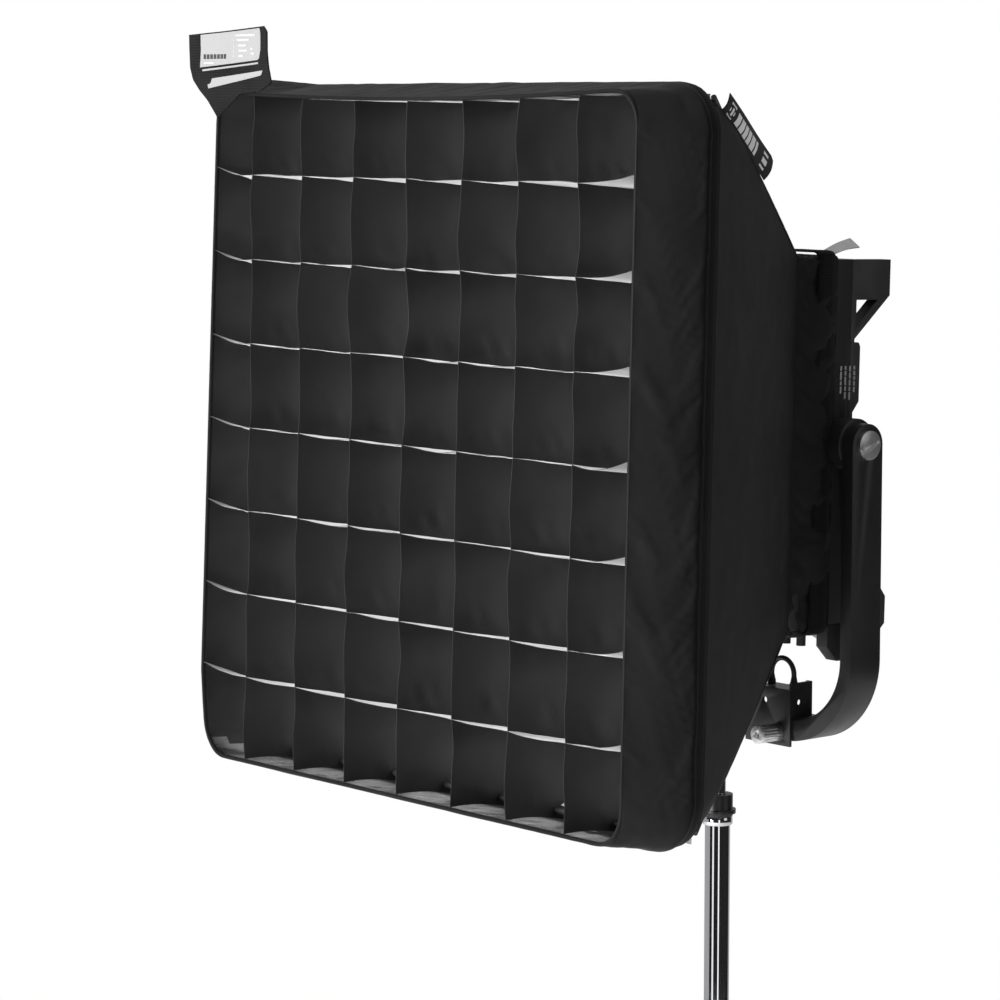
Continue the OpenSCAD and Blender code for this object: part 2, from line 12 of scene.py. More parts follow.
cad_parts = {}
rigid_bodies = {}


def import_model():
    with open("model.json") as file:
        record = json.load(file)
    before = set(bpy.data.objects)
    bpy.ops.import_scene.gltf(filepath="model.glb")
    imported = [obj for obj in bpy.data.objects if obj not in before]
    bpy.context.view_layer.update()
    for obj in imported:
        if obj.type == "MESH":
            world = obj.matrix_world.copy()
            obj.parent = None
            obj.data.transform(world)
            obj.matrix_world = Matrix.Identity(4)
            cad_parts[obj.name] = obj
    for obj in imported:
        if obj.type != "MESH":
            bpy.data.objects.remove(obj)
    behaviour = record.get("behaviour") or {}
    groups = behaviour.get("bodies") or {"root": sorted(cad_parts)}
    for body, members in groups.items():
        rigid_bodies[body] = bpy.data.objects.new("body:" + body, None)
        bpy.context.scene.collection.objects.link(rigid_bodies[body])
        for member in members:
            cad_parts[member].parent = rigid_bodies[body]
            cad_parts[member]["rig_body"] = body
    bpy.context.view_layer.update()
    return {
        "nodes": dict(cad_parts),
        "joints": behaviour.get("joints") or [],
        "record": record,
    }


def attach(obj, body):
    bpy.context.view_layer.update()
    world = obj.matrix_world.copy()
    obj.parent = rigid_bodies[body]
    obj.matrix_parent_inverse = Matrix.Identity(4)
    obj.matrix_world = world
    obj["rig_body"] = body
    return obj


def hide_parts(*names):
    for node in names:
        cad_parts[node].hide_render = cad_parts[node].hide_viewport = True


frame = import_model()
nodes = frame["nodes"]
joints = {j["name"]: j for j in frame["joints"]}
random.seed(11)

# ---------------------------------------------------------------- the head's own axes
# Everything on the head is laid out in millimetres from the tilt axis: x right, y back, z up.
MM = 0.001
PIVOT = Vector(joints["head_tilt"]["pos_m"])
BACKWARD = Vector(joints["fan_top_spin"]["axis"])
REST_TILT = math.atan2(-BACKWARD.z, BACKWARD.y)
HEAD = Matrix.Translation(PIVOT) @ Matrix.Rotation(-REST_TILT, 4, "X") @ Matrix.Scale(MM, 4)
YOKE = Matrix.Translation(PIVOT) @ Matrix.Scale(MM, 4)
WORLD = Matrix.Scale(MM, 4)

# Softbox, in head millimetres
RIM = 335.0          # half width of the rim
RIM_Y = -346.0
RIM_ROUND = 46.0     # corner radius of the rim
NECK_W = 165.0
NECK_H = 178.0
NECK_Y = -68.0
NECK_BACK = -12.0
# Grid
GRID_W = 302.0
GRID_H = 318.0
GRID_ROUND = 30.0
GRID_Y = -400.0
GRID_BACK = -324.0
PITCH_X = 77.0
PITCH_Z = 80.0
CELLS = 8


# ---------------------------------------------------------------- camera, lights, floor
def make_camera():
    """Looks at the right front corner from a little above the pivot, through a long lens."""
    data = bpy.data.cameras.new("camera")
    data.lens = 126.5
    data.sensor_width = 36.0
    data.clip_end = 100.0
    camera = bpy.data.objects.new("camera", data)
    bpy.context.scene.collection.objects.link(camera)
    camera.location = PIVOT + Vector((2.460, -2.384, 0.314))
    pitch_down, azimuth = math.radians(6.38), math.radians(49.5)
    camera.rotation_euler = (math.radians(90) - pitch_down, 0, azimuth)
    bpy.context.scene.camera = camera


def area_light(name, place, target, size, power):
    data = bpy.data.lights.new(name, "AREA")
    data.shape = "RECTANGLE"
    data.size, data.size_y = size
    data.energy = power
    light = bpy.data.objects.new(name, data)
    bpy.context.scene.collection.objects.link(light)
    light.location = place
    aim = Vector(target) - Vector(place)
    light.rotation_euler = aim.to_track_quat("-Z", "Y").to_euler()


def set_inputs(node, **values):
    """Sets a shader node's inputs; an underscore stands for the space in an input's name."""
    for name, value in values.items():
        node.inputs[name.replace("_", " ")].default_value = value


def add_node(tree, kind, **values):
    """A new shader node with these inputs set."""
    node = tree.nodes.new("ShaderNode" + kind)
    set_inputs(node, **values)
    return node


def make_world():
    """A white backdrop, and a dimmer grey room for the light that falls on the object."""
    world = bpy.data.worlds.new("studio")
    bpy.context.scene.world = world
    world.use_nodes = True
    tree = world.node_tree
    tree.nodes.clear()
    out = add_node(tree, "OutputWorld")
    background = add_node(tree, "Background", Color=(1, 1, 1, 1))
    coords = add_node(tree, "TexCoord")
    axes = add_node(tree, "SeparateXYZ")
    room = add_node(tree, "MapRange", From_Min=0.5, From_Max=0.9, To_Min=0.42, To_Max=0.55)
    room.interpolation_type = "SMOOTHSTEP"
    rays = add_node(tree, "LightPath")
    tree.links.new(coords.outputs["Generated"], axes.inputs[0])
    tree.links.new(axes.outputs["Z"], room.inputs["Value"])
    seen = math_node(tree, "MAXIMUM", room.outputs["Result"], rays.outputs["Is Camera Ray"])
    tree.links.new(seen, background.inputs["Strength"])
    tree.links.new(background.outputs[0], out.inputs["Surface"])


def stage_piece(name, points, faces, material):
    """A part of the studio rather than of the object."""
    mesh = bpy.data.meshes.new(name)
    mesh.from_pydata(points, [], faces)
    mesh.materials.append(material)
    piece = link_mesh(name, mesh)
    return piece


def make_floor():
    """A round pale floor, wide enough for the stand and its shadow."""
    radius, around = 2.5, 96
    turns = [2 * math.pi * k / around for k in range(around)]
    points = [(radius * math.cos(a), radius * math.sin(a), 0) for a in turns]
    paper = stage_material("floor_pale", 0.93, 0.97, 0.6)
    stage_piece("floor", points, [tuple(range(around))], paper)


def make_dark_card():
    """A tall dark screen curved round the camera's side and never seen itself.
    It keeps black cloth black and puts the dark lines in bright metal."""
    radius, low, high = 4.9, -4.0, 4.5
    middle, half = math.radians(-16.4), math.radians(100)
    columns = 60
    points = []
    for z in (low, high):
        for a in spaced(columns, middle - half, middle + half):
            points.append((radius * math.cos(a), radius * math.sin(a), z))
    paper = stage_material("dark_card", 0.010, 0.016, 0.8)
    card = stage_piece("dark_card", points, grid_faces(2, columns, False), paper)
    card.visible_camera = False


def make_studio():
    """Camera, backdrop, floor, dark card and four soft lights."""
    make_camera()
    make_world()
    make_floor()
    make_dark_card()
    area_light("front_key", (-0.25, -4.3, 1.9), (0, -0.4, 1.2), (0.9, 1.8), 320)
    area_light("right_fill", (3.3, 1.3, 1.9), (0, 0, 1.25), (1.6, 1.6), 6)
    area_light("side_strip", (3.13, -1.88, 0.3), (0, 0, 0.3), (0.7, 3.2), 9)
    area_light("low_front", (0.51, -3.97, 0.0), (0, 0, 0.0), (1.1, 3.0), 11)
    bpy.context.scene.view_settings.view_transform = "Standard"


# ---------------------------------------------------------------- materials
def new_material(name):
    """An empty material: itself, its tree, its shader and its object coordinates."""
    material = bpy.data.materials.new(name)
    material.use_nodes = True
    tree = material.node_tree
    shader = tree.nodes["Principled BSDF"]
    coords = tree.nodes.new("ShaderNodeTexCoord")
    return material, tree, shader, coords.outputs["Object"]


def noise_node(tree, coords, scale, detail=4.0, roughness=0.55, stretch=None):
    source = coords
    if stretch is not None:
        mapping = add_node(tree, "Mapping", Scale=stretch)
        tree.links.new(coords, mapping.inputs["Vector"])
        source = mapping.outputs["Vector"]
    node = add_node(tree, "TexNoise", Scale=scale, Detail=detail, Roughness=roughness)
    tree.links.new(source, node.inputs["Vector"])
    return node.outputs["Fac"]


def ramp_node(tree, factor, low, high, low_at=0.3, high_at=0.7):
    """A two-colour ramp driven by a factor."""
    node = tree.nodes.new("ShaderNodeValToRGB")
    node.color_ramp.elements[0].position = low_at
    node.color_ramp.elements[1].position = high_at
    node.color_ramp.elements[0].color = (*low, 1)
    node.color_ramp.elements[1].color = (*high, 1)
    tree.links.new(factor, node.inputs["Fac"])
    return node.outputs["Color"]


def range_node(tree, factor, low, high):
    node = add_node(tree, "MapRange", To_Min=low, To_Max=high)
    tree.links.new(factor, node.inputs["Value"])
    return node.outputs["Result"]


def math_node(tree, operation, a, b):
    node = tree.nodes.new("ShaderNodeMath")
    node.operation = operation
    for socket, value in ((node.inputs[0], a), (node.inputs[1], b)):
        if isinstance(value, (int, float)):
            socket.default_value = value
        else:
            tree.links.new(value, socket)
    return node.outputs[0]


def bump_node(tree, shader, height, strength, distance):
    """Adds a height to the shader, over any that it already has."""
    node = add_node(tree, "Bump", Strength=strength, Distance=distance)
    tree.links.new(height, node.inputs["Height"])
    if shader.inputs["Normal"].is_linked:
        tree.links.new(shader.inputs["Normal"].links[0].from_socket, node.inputs["Normal"])
    tree.links.new(node.outputs["Normal"], shader.inputs["Normal"])


def grey(value):
    return value, value, value


def scaled(colour, factor):
    """The colour made lighter or darker."""
    return tuple(min(1.0, c * factor) for c in colour)


def base_colour(shader, colour):
    shader.id_data.links.new(colour, shader.inputs["Base Color"])


def weave_height(tree, coords, threads_per_m):
    """Threads over and under along the three axes, so the weave needs no UVs."""
    total = None
    for axis in ("X", "Y", "Z"):
        wave = add_node(tree, "TexWave", Scale=threads_per_m, Distortion=0.6, Detail=1.0, Detail_Scale=2.0)
        wave.wave_type = "BANDS"
        wave.bands_direction = axis
        tree.links.new(coords, wave.inputs["Vector"])
        total = wave.outputs["Fac"] if total is None else math_node(tree, "ADD", total, wave.outputs["Fac"])
    return math_node(tree, "MULTIPLY", total, 0.33)


def cloth_material(name, colour, sheen=0.35, roughness=0.85, threads=260.0, weave=0.25, lint=0.02, shine=0.3):
    """Woven nylon: thread relief, slow colour drift, a little lint and a soft sheen."""
    material, tree, shader, coords = new_material(name)
    drift = noise_node(tree, coords, 9.0, 5.0)
    base = ramp_node(tree, drift, scaled(colour, 0.82), scaled(colour, 1.22))
    fleck = noise_node(tree, coords, 1400.0, 2.0, 0.7)
    speck = ramp_node(tree, fleck, (0, 0, 0), grey(lint), 0.70, 0.80)
    mix = add_node(tree, "Mix", Factor=1.0)
    mix.data_type = "RGBA"
    mix.blend_type = "ADD"
    tree.links.new(base, mix.inputs["A"])
    tree.links.new(speck, mix.inputs["B"])
    base_colour(shader, mix.outputs["Result"])
    rough = range_node(tree, noise_node(tree, coords, 40.0, 3.0), roughness - 0.08, min(1.0, roughness + 0.08))
    tree.links.new(rough, shader.inputs["Roughness"])
    set_inputs(shader, Sheen_Weight=sheen, Sheen_Roughness=0.45, Specular_IOR_Level=shine)
    bump_node(tree, shader, weave_height(tree, coords, threads), weave, 0.0004)
    bump_node(tree, shader, noise_node(tree, coords, 55.0, 4.0), 0.12, 0.002)
    return material


def webbing_material(name, colour):
    """Ribbed strap: strong rows of thread, and a flat sheen."""
    material, tree, shader, coords = new_material(name)
    ribs = weave_height(tree, coords, 120.0)
    base_colour(shader, ramp_node(tree, ribs, scaled(colour, 0.6), scaled(colour, 1.5)))
    tree.links.new(range_node(tree, ribs, 0.9, 0.6), shader.inputs["Roughness"])
    set_inputs(shader, Sheen_Weight=0.04, Specular_IOR_Level=0.08)
    bump_node(tree, shader, ribs, 0.6, 0.0008)
    return material


def painted_material(name, colour, roughness=0.42, grain=900.0, relief=0.18):
    """Powder coat: fine orange-peel grain, dusty patches and slightly polished high spots."""
    material, tree, shader, coords = new_material(name)
    patch = noise_node(tree, coords, 14.0, 6.0, 0.6)
    base_colour(shader, ramp_node(tree, patch, scaled(colour, 0.85), scaled(colour, 1.2)))
    smear = noise_node(tree, coords, 30.0, 5.0, 0.6)
    tree.links.new(range_node(tree, smear, roughness - 0.1, roughness + 0.12), shader.inputs["Roughness"])
    set_inputs(shader, Specular_IOR_Level=0.5)
    bump_node(tree, shader, noise_node(tree, coords, grain, 2.0), relief, 0.0004)
    return material


def moulded_material(name, colour, roughness=0.5, grain=1500.0, relief=0.25):
    """Moulded plastic with a spark-eroded grain."""
    material, tree, shader, coords = new_material(name)
    cloud = noise_node(tree, coords, 20.0, 4.0)
    base_colour(shader, ramp_node(tree, cloud, scaled(colour, 0.9), scaled(colour, 1.15)))
    pits = noise_node(tree, coords, grain, 3.0, 0.7)
    tree.links.new(range_node(tree, pits, roughness - 0.06, roughness + 0.1), shader.inputs["Roughness"])
    bump_node(tree, shader, pits, relief, 0.0003)
    return material


def metal_material(name, colour, roughness, stretch, relief=0.06):
    """Bright metal with drawn or turned scratches along one direction and faint finger marks."""
    material, tree, shader, coords = new_material(name)
    lines = noise_node(tree, coords, 60.0, 6.0, 0.6, stretch)
    base_colour(shader, ramp_node(tree, lines, scaled(colour, 0.9), colour))
    smudge = noise_node(tree, coords, 18.0, 4.0)
    blend = math_node(tree, "MULTIPLY", lines, smudge)
    tree.links.new(range_node(tree, blend, roughness * 0.6, roughness * 1.7), shader.inputs["Roughness"])
    set_inputs(shader, Metallic=1.0)
    bump_node(tree, shader, lines, relief, 0.0002)
    return material


def pale_material(name, colour, roughness=0.7, threads=200.0):
    """White cloth or satin label stock."""
    material, tree, shader, coords = new_material(name)
    drift = noise_node(tree, coords, 12.0, 4.0)
    base_colour(shader, ramp_node(tree, drift, scaled(colour, 0.94), colour))
    set_inputs(shader, Roughness=roughness, Sheen_Weight=0.2)
    bump_node(tree, shader, weave_height(tree, coords, threads), 0.2, 0.0003)
    return material


def clear_material(name, colour, roughness=0.35):
    """Frosted translucent strip: mostly pale, with some light coming through."""
    material, tree, shader, coords = new_material(name)
    drift = noise_node(tree, coords, 60.0, 3.0)
    base_colour(shader, ramp_node(tree, drift, scaled(colour, 0.92), colour))
    set_inputs(shader, Roughness=roughness, Transmission_Weight=0.35)
    bump_node(tree, shader, noise_node(tree, coords, 500.0, 2.0), 0.2, 0.0002)
    return material


def board_material(name, colour, track):
    """Circuit board: solder mask with a net of tracks."""
    material, tree, shader, coords = new_material(name)
    cells = add_node(tree, "TexVoronoi", Scale=160.0)
    cells.feature = "DISTANCE_TO_EDGE"
    tree.links.new(coords, cells.inputs["Vector"])
    base_colour(shader, ramp_node(tree, cells.outputs["Distance"], track, colour, 0.02, 0.08))
    set_inputs(shader, Roughness=0.35)
    bump_node(tree, shader, cells.outputs["Distance"], 0.2, 0.0003)
    return material


def stage_material(name, low, high, scale):
    """Matt paper that drifts slowly between two greys."""
    material, tree, shader, coords = new_material(name)
    base_colour(shader, ramp_node(tree, noise_node(tree, coords, scale, 3.0), grey(low), grey(high)))
    set_inputs(shader, Roughness=0.9)
    return material


def make_materials():
    """One material for each of the record's slots, and a few more within them, among them lighter, shinier and
    darker copies of the grid cloth that paint light and shade.
    """
    return {
        "bag_cloth": cloth_material("bag_nylon", (0.013, 0.013, 0.0135), 0.01, 0.72, 300.0, 0.2, 0.008, 0.16),
        "grid_cloth": cloth_material("grid_nylon", (0.028, 0.028, 0.029), 0.03, 0.55, 340.0, 0.15, 0.01, 0.2),
        # lit copy of the grid cloth: lighter and shinier, a painted sheen for the level strips' tops
        "lit_level_cloth": cloth_material("lit_level_nylon", (0.036, 0.036, 0.037), 0.7, 0.22, 340.0, 0.015, 0.01, 1.0),
        # lit copy of the grid cloth for the border's upward floor faces: a painted sheen
        "floor_sheen_cloth": cloth_material("floor_sheen_nylon", (0.030, 0.030, 0.031), 0.12, 0.24, 340.0, 0.015, 0.01, 1.0),
        # shaded copy of the grid cloth for the skirt and hem: darker, painted shade
        "shaded_grid_cloth": cloth_material("shaded_grid_nylon", (0.011, 0.011, 0.0115), 0.01, 0.48, 340.0, 0.15, 0.006, 0.07),
        "lining": pale_material("silver_lining", (0.80, 0.80, 0.81), 0.45),
        "diffusion": pale_material("diffusion_cloth", (0.92, 0.92, 0.90), 0.8, 260.0),
        "webbing": webbing_material("webbing", (0.007, 0.007, 0.0075)),
        "clear_tab": clear_material("frosted_tab", (0.84, 0.84, 0.86)),
        "label_black": cloth_material("woven_label", (0.018, 0.018, 0.02), 0.1, 0.75, 420.0, 0.35),
        "label_white": pale_material("satin_label", grey(0.30), 0.55, 420.0),
        "rod": moulded_material("glass_fibre", grey(0.02), 0.4),
        "handle": moulded_material("handle_composite", (0.036, 0.036, 0.038), 0.46, 1100.0, 0.3),
        "housing": painted_material("housing_paint", (0.020, 0.020, 0.021), 0.42),
        "bezel": moulded_material("bezel_plastic", grey(0.02), 0.5),
        "lens": pale_material("opal_acrylic", (0.90, 0.90, 0.88), 0.25),
        "circuit": board_material("led_circuit", (0.85, 0.86, 0.84), (0.55, 0.57, 0.55)),
        "chips": moulded_material("phosphor", (0.85, 0.66, 0.14), 0.3),
        "heatsink": metal_material("black_anodised", (0.05, 0.05, 0.055), 0.4, (1, 1, 0.05)),
        "fan": moulded_material("fan_plastic", (0.028, 0.028, 0.03), 0.4),
        "control": moulded_material("control_plastic", (0.022, 0.022, 0.023), 0.48),
        "screen": moulded_material("display_window", (0.008, 0.02, 0.028), 0.12, 200.0, 0.02),
        "driver": board_material("driver_circuit", (0.03, 0.18, 0.07), (0.5, 0.4, 0.15)),
        "knob": moulded_material("knob_plastic", grey(0.02), 0.45),
        "button": moulded_material("button_rubber", (0.10, 0.10, 0.105), 0.65),
        "socket": metal_material("nickel", (0.55, 0.55, 0.57), 0.28, (1, 1, 8)),
        "yoke_paint": painted_material("yoke_paint", (0.022, 0.022, 0.023), 0.36, 1100.0, 0.14),
        "bright_steel": metal_material("turned_steel", (0.90, 0.90, 0.91), 0.42, (1, 9, 1)),
        "chrome": metal_material("chrome_plate", (0.80, 0.80, 0.82), 0.06, (6, 6, 0.4), 0.02),
        "collar": painted_material("collar_paint", grey(0.018), 0.34, 700.0, 0.1),
        "lead": moulded_material("lead_jacket", grey(0.018), 0.45),
        "rubber": moulded_material("foot_rubber", grey(0.02), 0.75),
        "label_print": pale_material("woven_print", grey(0.92), 0.6, 420.0),
        "print": pale_material("pale_print", grey(0.42), 0.6),
        "print_dark": moulded_material("dark_print", grey(0.03), 0.6),
    }


# ---------------------------------------------------------------- mesh helpers
def link_mesh(name, mesh):
    """A new object that holds the mesh."""
    piece = bpy.data.objects.new(name, mesh)
    bpy.context.scene.collection.objects.link(piece)
    return piece


def mesh_object(name, points, faces, place=HEAD):
    """A mesh from points in local millimetres, placed by a matrix."""
    mesh = bpy.data.meshes.new(name)
    mesh.from_pydata([place @ Vector(p) for p in points], [], faces)
    mesh.update()
    mesh.polygons.foreach_set("use_smooth", [True] * len(mesh.polygons))
    return link_mesh(name, mesh)


def grid_faces(rows, columns, wrap):
    """Quads of a grid of points; wrap joins the last column to the first."""
    faces = []
    for r in range(rows - 1):
        for c in range(columns if wrap else columns - 1):
            n = (c + 1) % columns
            faces.append((r * columns + c, r * columns + n, (r + 1) * columns + n, (r + 1) * columns + c))
    return faces


def apply_modifiers(piece):
    """Bakes the modifiers into the mesh."""
    bpy.context.view_layer.update()
    graph = bpy.context.evaluated_depsgraph_get()
    mesh = bpy.data.meshes.new_from_object(piece.evaluated_get(graph))
    piece.modifiers.clear()
    old = piece.data
    piece.data = mesh
    bpy.data.meshes.remove(old)
    return piece


@contextmanager
def edited(mesh):
    """The mesh as a bmesh, written back afterwards."""
    shape = bmesh.new()
    shape.from_mesh(mesh)
    yield shape
    shape.to_mesh(mesh)
    shape.free()


def thicken(piece, thickness, offset=0.0):
    """Gives a sheet its thickness, in millimetres."""
    solid = piece.modifiers.new("solid", "SOLIDIFY")
    solid.thickness = thickness * MM
    solid.offset = offset
    solid.use_even_offset = True
    apply_modifiers(piece)
    smooth_by_angle(piece, 50)
    return piece


def smooth_by_angle(piece, degrees=40):
    """Smooth shading, with edges sharper than the angle kept sharp."""
    with edited(piece.data) as shape:
        for edge in shape.edges:
            sharp = len(edge.link_faces) == 2 and edge.calc_face_angle(0) > math.radians(degrees)
            edge.smooth = not sharp
        for face in shape.faces:
            face.smooth = True


def spaced(count, start=0.0, end=1.0):
    """Evenly spaced values from start to end."""
    return [start + (end - start) * i / (count - 1) for i in range(count)]


def share(value, start, end):
    """0 up to start, 1 from end on, and straight in between."""
    return min(1.0, max(0.0, (value - start) / (end - start)))


def wobble(x, y, z, scale, seed=0.0):
    """Smooth noise from -1 to 1; scale is its size in millimetres."""
    return noise.noise(Vector((x / scale + seed, y / scale - seed, z / scale + 2 * seed)))


def finish_piece(piece, slot, body="head", replaces=(), material=None):
    """Material, body, slot and replaced CAD nodes of one finished piece."""
    piece.data.materials.clear()
    piece.data.materials.append(material or MATERIALS[slot])
    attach(piece, body)
    if replaces:
        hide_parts(*replaces)
    return piece


def rounded_ring(half_x, half_z, radius, per_side=60, per_corner=10):
    """Points (x, z, side, run) round a rounded rectangle.
    side is 1 in the middle of a side and 0 at its ends; run is the distance travelled round the ring."""
    points = []
    radius = max(radius, 0.5)
    turns = [(1, 1), (-1, 1), (-1, -1), (1, -1)]
    for k, (sx, sz) in enumerate(turns):
        cx, cz = sx * (half_x - radius), sz * (half_z - radius)
        for i in range(per_corner + 1):
            angle = math.radians(90 * k + 90 * i / per_corner)
            points.append((cx + radius * math.cos(angle), cz + radius * math.sin(angle), 0.0))
        nx, nz = turns[(k + 1) % 4]
        ax, az = points[-1][0], points[-1][1]
        start = math.radians(90 * (k + 1))
        bx = nx * (half_x - radius) + radius * math.cos(start)
        bz = nz * (half_z - radius) + radius * math.sin(start)
        for i in range(1, per_side):
            t = i / per_side
            points.append((ax + (bx - ax) * t, az + (bz - az) * t, 4 * t * (1 - t)))
    run, placed = 0.0, []
    for i, (x, z, side) in enumerate(points):
        if i:
            run += math.hypot(x - points[i - 1][0], z - points[i - 1][1])
        placed.append((x, z, side, run))
    return placed


def ring_loft(name, sections, per_side=60, per_corner=10, closed=False, shape=None):
    """Skins a row of (half_x, half_z, radius, y) sections; closed joins the last section to the first."""
    points = []
    for row, (half_x, half_z, radius, y) in enumerate(sections):
        v = row / max(1, len(sections) - 1)
        for x, z, side, run in rounded_ring(half_x, half_z, radius, per_side, per_corner):
            point = (x, y, z)
            if shape is not None:
                point = shape(x, y, z, side, v, run)
            points.append(point)
    columns = 4 * (per_side + per_corner)
    faces = grid_faces(len(sections), columns, True)
    if closed:
        last = (len(sections) - 1) * columns
        for c in range(columns):
            n = (c + 1) % columns
            faces.append((last + c, last + n, n, c))
    piece = mesh_object(name, points, faces)
    with edited(piece.data) as skin:
        bmesh.ops.recalc_face_normals(skin, faces=skin.faces)
    return piece


def pushed(x, y, z, half_x, half_z, out):
    """Moves a point of a ring outward from the side it is on."""
    if abs(x) / half_x > abs(z) / half_z:
        return x + math.copysign(out, x), y, z
    return x, y, z + math.copysign(out, z)


def simulate(piece, rows, slack, steps, bend, gravity, cap):
    """Lets spare cloth buckle between its first and last rows of points, then keeps the shape.
    slack is the share of spare length, and cap the furthest that a point may move in millimetres."""
    before = np.array([v.co for v in piece.data.vertices])
    count = len(before)
    columns = count // rows
    group = piece.vertex_groups.new(name="pin")
    group.add(range(count), 0.0, "REPLACE")
    group.add([*range(columns), *range(count - columns, count)], 1.0, "REPLACE")
    cloth = piece.modifiers.new("cloth", "CLOTH")
    settings = cloth.settings
    settings.quality = 6
    settings.mass = 0.12
    settings.tension_stiffness = 18
    settings.compression_stiffness = 18
    settings.shear_stiffness = 6
    settings.bending_stiffness = bend
    settings.air_damping = 4
    settings.vertex_group_mass = "pin"
    settings.shrink_min = -slack
    settings.effector_weights.gravity = gravity
    cloth.collision_settings.use_collision = False
    cloth.collision_settings.use_self_collision = False
    scene = bpy.context.scene
    scene.frame_start, scene.frame_end = 1, steps
    cloth.point_cache.frame_start, cloth.point_cache.frame_end = 1, steps
    for step in range(1, steps + 1):
        scene.frame_set(step)
    graph = bpy.context.evaluated_depsgraph_get()
    after = np.array([v.co for v in piece.evaluated_get(graph).data.vertices])
    move = after - before
    far = np.linalg.norm(move, axis=1, keepdims=True)
    move *= np.minimum(1.0, cap * MM / np.maximum(far, 1e-9))
    piece.modifiers.clear()
    piece.vertex_groups.clear()
    piece.data.vertices.foreach_set("co", (before + move).ravel())
    piece.data.update()
    scene.frame_set(1)


# ---------------------------------------------------------------- softbox
def bag_section(v):
    """Half width, half height and corner radius of the bag, v from 0 at the neck to 1 at the rim."""
    radius = 4 + 18 * v ** 2 + 26 * v ** 8
    return NECK_W + (RIM - NECK_W) * v, NECK_H + (RIM - NECK_H) * v, radius


def make_bag():
    """The four sewn panels as one tight skin that sags a little between its corner ribs."""
    rows = 64

    def shape(x, y, z, side, v, run):
        half_x, half_z, _ = bag_section(v)
        hang = max(0.0, math.sin(math.pi * v)) ** 0.8
        sag = 6.0 * side * hang
        fold = math.exp(-v * 5.0) * (1 - math.exp(-v * 40.0))
        across = x if abs(z) / half_z > abs(x) / half_x else z
        ripple = 2.2 * fold * wobble(across, 0, 0, 21.0, 3.0)
        ripple += 1.5 * side * wobble(across * 0.8, y * 0.22, 0, 40.0, 5.0) + 0.5 * side * wobble(x, y, z, 28.0, 1.0)
        x, y, z = pushed(x, y, z, half_x, half_z, -(sag + ripple))
        return x, y, z - rim_drop(x, z) * v ** 8

    sections = [(*bag_section(v), NECK_Y + (RIM_Y + 4 - NECK_Y) * v) for v in spaced(rows)]
    bag = ring_loft("bag_skin", sections, 70, 8, shape=shape)
    thicken(bag, 1.2)
    finish_piece(bag, "bag_cloth", replaces=(
        "bag_panel_top", "bag_panel_bottom", "bag_panel_left", "bag_panel_right"))


def make_lining():
    """Pale lining, a little inside the bag."""
    sections = []
    for v in spaced(14, 0.03, 0.96):
        half_x, half_z, radius = bag_section(v)
        sections.append((half_x - 16, half_z - 16, radius + 3, NECK_Y + (RIM_Y - NECK_Y) * v))
    lining = ring_loft("lining_skin", sections, 24, 6)
    thicken(lining, 0.5)
    finish_piece(lining, "lining", replaces=("bag_lining",))


def make_seams():
    """Binding tape sewn over each corner of the bag."""
    for index, (sx, sz) in enumerate([(1, 1), (-1, 1), (-1, -1), (1, -1)]):
        points, rows, slope = [], 70, 0.7071
        profile = [(-4.4, -0.9), (-3.4, 0.2), (-1.2, 1.0), (1.2, 1.0), (3.4, 0.2), (4.4, -0.9)]
        for v in spaced(rows, 0.01, 0.96):
            half_x, half_z, radius = bag_section(v)
            inset = radius * (1 - math.sqrt(0.5))
            y = NECK_Y + (RIM_Y + 4 - NECK_Y) * v
            for across, out in profile:
                rise = out + 0.2 * wobble(y, across, 0, 9.0, index)
                x = half_x - inset + slope * (rise + across)
                z = half_z - inset + slope * (rise - across)
                points.append((sx * x, y, sz * z - rim_drop(sx * x, sz * z) * v ** 8))
        tape = mesh_object(f"seam_tape_{index + 1}", points, grid_faces(rows, len(profile), False))
        thicken(tape, 0.6)
        finish_piece(tape, "webbing")


def turned(name, profile, around, centre=(0, 0, 0), place=WORLD):
    """A profile of (radius, z) points turned about an upright axis."""
    x, y, foot = centre
    points = []
    for radius, z in profile:
        for k in range(around):
            a = 2 * math.pi * k / around
            points.append((x + radius * math.cos(a), y + radius * math.sin(a), foot + z))
    return mesh_object(name, points, grid_faces(len(profile), around, True), place)


def tube_ring(name, half_x, half_z, radius, y, tube, slot, replaces=()):
    """A round rod bent into a rounded rectangle."""
    path = rounded_ring(half_x, half_z, radius, 10, 8)
    around = 12
    points = []
    count = len(path)
    for i, (x, z, _, _) in enumerate(path):
        px, pz = path[i - 1][:2]
        qx, qz = path[(i + 1) % count][:2]
        length = math.hypot(qx - px, qz - pz)
        nx, nz = (qz - pz) / length, -(qx - px) / length
        for k in range(around):
            a = 2 * math.pi * k / around
            points.append((x + tube * math.cos(a) * nx, y + tube * math.sin(a), z + tube * math.cos(a) * nz))
    faces = grid_faces(count, around, True)
    last = (count - 1) * around
    faces += [(last + k, last + (k + 1) % around, (k + 1) % around, k) for k in range(around)]
    ring = mesh_object(name, points, faces)
    return finish_piece(ring, slot, replaces=replaces)


def top_sag(x, z):
    """How far the top edge hangs between the two upper corners."""
    if z < 0:
        return 0.0
    return 8.0 * max(0.0, 1 - (x / 300) ** 2) * share(z, 250, 310)


def rim_drop(x, z):
    """How far the rim's top hangs below a true square, less what its lower right corner rises."""
    held = 0.5 * share(-x, 210, 280)
    hang = 9.0 * (1 - held) * share(z, 150, 300)
    return hang - 6.5 * share(x, 170, 280) * share(-z, 230, 300)


def left_lean(x, z):
    """The front edge of the grid leans in on its upper left side, and at its lower left corner."""
    side = share(-x, 235, 295)
    corner = share(-x - z, 545, 615)
    return 15.0 * side * share(z, -272, 286) + 9.0 * corner


